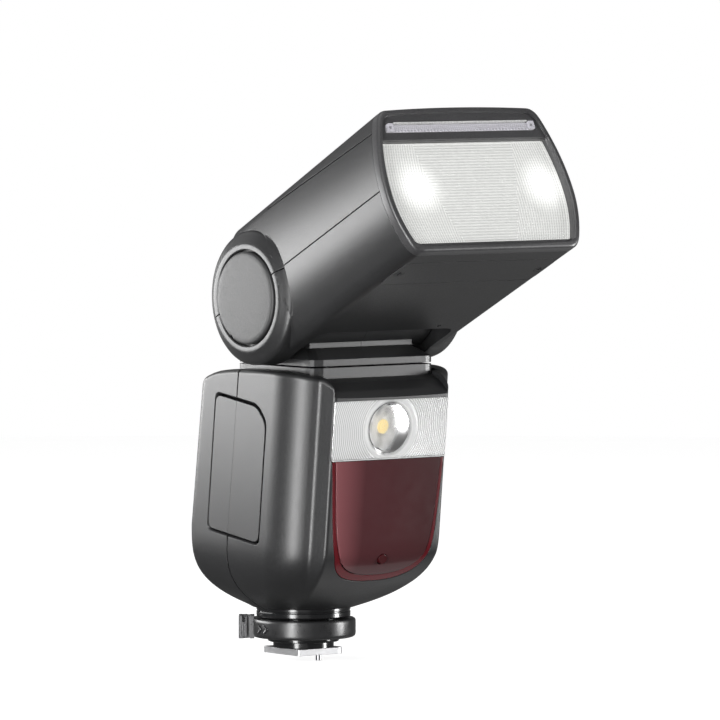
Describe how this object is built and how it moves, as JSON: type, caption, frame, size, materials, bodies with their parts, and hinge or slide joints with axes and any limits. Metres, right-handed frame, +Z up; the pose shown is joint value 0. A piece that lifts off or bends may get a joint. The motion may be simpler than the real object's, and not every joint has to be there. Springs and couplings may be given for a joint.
{
  "type": "speedlight flash",
  "caption": "Hot-shoe speedlight flash: battery body with lamp and red assist window, swivelling neck, tilting zoom head with pull-out panel and card, lock ring foot.",
  "frame": {"origin": "middle of the underside of the shoe plate", "axes": "+Z up through the body, -Y out of the lamp side, +X to the right seen from the front"},
  "size_m": [0.0756, 0.122, 0.1794],
  "materials": {
    "body_plastic": "fine-grained charcoal moulding",
    "black_plastic": "satin black moulding",
    "bezel_plastic": "smooth dark grey moulding",
    "clear_plastic": "clear moulded Fresnel plastic",
    "red_plastic": "deep red translucent window",
    "screen_plastic": "glossy screen window",
    "white_plastic": "white card and lamp cup",
    "cell_wrap": "shrink wrap",
    "board": "glass-epoxy board",
    "tube_glass": "clear tube",
    "polished_metal": "mirror reflector",
    "steel": "plated steel",
    "shoe_metal": "brushed plate",
    "ring_metal": "satin black anodised",
    "contact_metal": "dark plated contacts"
  },
  "bodies": {
    "body": {"front_shell": "body_plastic", "rear_shell": "body_plastic", "turntable": "body_plastic", "lamp_lens": "clear_plastic", "lamp_board": "board", "lamp_reflector": "white_plastic", "af_window": "red_plastic", "af_emitter": "black_plastic", "optic_sensor": "black_plastic", "lcd_window": "screen_plastic", "lcd_module": "screen_plastic", "main_board": "board", "main_capacitor": "black_plastic", "battery_bay": "black_plastic", "battery_contacts": "contact_metal", "foot_base": "black_plastic", "shoe_plate": "shoe_metal", "contact_pins": "contact_metal", "body_screws": "steel", "sync_jack": "steel", "usb_socket": "steel"},
    "lock_ring": {"lock_ring": "ring_metal"},
    "lock_pin": {"lock_pin": "steel"},
    "neck": {"swivel_plate": "body_plastic", "swivel_hub": "steel", "neck_cover_left": "body_plastic", "neck_cover_right": "body_plastic", "tilt_axle": "steel"},
    "head": {"head_upper_shell": "body_plastic", "head_lower_shell": "body_plastic", "head_top_cover": "body_plastic", "front_bezel": "bezel_plastic", "flash_lens": "clear_plastic", "hinge_caps": "body_plastic", "screw_panel": "black_plastic", "head_screws": "steel", "card_tray": "black_plastic", "zoom_rails": "steel", "zoom_motor": "steel", "zoom_screw": "steel"},
    "zoom_unit": {"zoom_carriage": "black_plastic", "flash_reflector": "polished_metal", "flash_tube": "tube_glass"},
    "bounce_card": {"bounce_card": "white_plastic"},
    "wide_panel": {"wide_panel": "clear_plastic"},
    "battery": {"battery_case_front": "body_plastic", "battery_case_rear": "body_plastic", "battery_cells": "cell_wrap"},
    "battery_latch": {"battery_latch": "black_plastic"},
    "control_dial": {"control_dial": "black_plastic"},
    "set_button": {"set_button": "black_plastic"},
    "soft_key_1": {"soft_key_1": "black_plastic"},
    "soft_key_2": {"soft_key_2": "black_plastic"},
    "soft_key_3": {"soft_key_3": "black_plastic"},
    "soft_key_4": {"soft_key_4": "black_plastic"},
    "mode_button": {"mode_button": "black_plastic"},
    "menu_button": {"menu_button": "black_plastic"},
    "test_button": {"test_button": "black_plastic"},
    "power_switch": {"power_switch": "black_plastic"}
  },
  "joints": [
    {"name": "swivel", "type": "hinge", "parent": "body", "child": "neck", "pos_m": [0, -0.017, 0.0927], "axis": [0, 0, 1], "range_deg": [-150, 180]},
    {"name": "tilt", "type": "hinge", "parent": "neck", "child": "head", "pos_m": [0, -0.0188, 0.1164], "axis": [-1, 0, 0], "range_deg": [-26.3, 93.7]},
    {"name": "zoom", "type": "slide", "parent": "head", "child": "zoom_unit", "axis": [0, 0.8965, -0.4431], "range_m": [0, 0.02]},
    {"name": "card_pull", "type": "slide", "parent": "head", "child": "bounce_card", "axis": [0, -0.8965, 0.4431], "range_m": [0, 0.045]},
    {"name": "panel_pull", "type": "slide", "parent": "head", "child": "wide_panel", "axis": [0, -0.8965, 0.4431], "range_m": [0, 0.045]},
    {"name": "battery_slide", "type": "slide", "parent": "body", "child": "battery", "axis": [-1, 0, 0], "range_m": [0, 0.06]},
    {"name": "latch_slide", "type": "slide", "parent": "body", "child": "battery_latch", "axis": [0, -0.135, 0.9908], "range_m": [0, 0.003], "stiffness_N_per_m": 200},
    {"name": "ring_turn", "type": "hinge", "parent": "body", "child": "lock_ring", "pos_m": [0, 0, 0.0085], "axis": [0, 0, 1], "range_deg": [0, 60]},
    {"name": "pin_lift", "type": "slide", "parent": "body", "child": "lock_pin", "axis": [0, 0, 1], "range_m": [0, 0.002]},
    {"name": "dial_turn", "type": "hinge", "parent": "body", "child": "control_dial", "pos_m": [0, 0.0197, 0.037], "axis": [0, 1, 0], "continuous": true},
    {"name": "set_press", "type": "slide", "parent": "body", "child": "set_button", "axis": [0, -1, 0], "range_m": [0, 0.0008], "stiffness_N_per_m": 400},
    {"name": "power_slide", "type": "slide", "parent": "body", "child": "power_switch", "axis": [1, 0, 0], "range_m": [0, 0.003]},
    {"name": "key_1_press", "type": "slide", "parent": "body", "child": "soft_key_1", "axis": [0, -0.9908, -0.135], "range_m": [0, 0.0006], "stiffness_N_per_m": 400},
    {"name": "key_2_press", "type": "slide", "parent": "body", "child": "soft_key_2", "axis": [0, -0.9908, -0.135], "range_m": [0, 0.0006], "stiffness_N_per_m": 400},
    {"name": "key_3_press", "type": "slide", "parent": "body", "child": "soft_key_3", "axis": [0, -0.9908, -0.135], "range_m": [0, 0.0006], "stiffness_N_per_m": 400},
    {"name": "key_4_press", "type": "slide", "parent": "body", "child": "soft_key_4", "axis": [0, -0.9908, -0.135], "range_m": [0, 0.0006], "stiffness_N_per_m": 400},
    {"name": "mode_press", "type": "slide", "parent": "body", "child": "mode_button", "axis": [0, -1, 0], "range_m": [0, 0.0006], "stiffness_N_per_m": 400},
    {"name": "menu_press", "type": "slide", "parent": "body", "child": "menu_button", "axis": [0, -1, 0], "range_m": [0, 0.0006], "stiffness_N_per_m": 400},
    {"name": "test_press", "type": "slide", "parent": "body", "child": "test_button", "axis": [0, -1, 0], "range_m": [0, 0.0006], "stiffness_N_per_m": 400}
  ],
  "couplings": [
    {"joint": "pin_lift", "follows": "ring_turn", "m_per_rad": 0.0019}
  ]
}
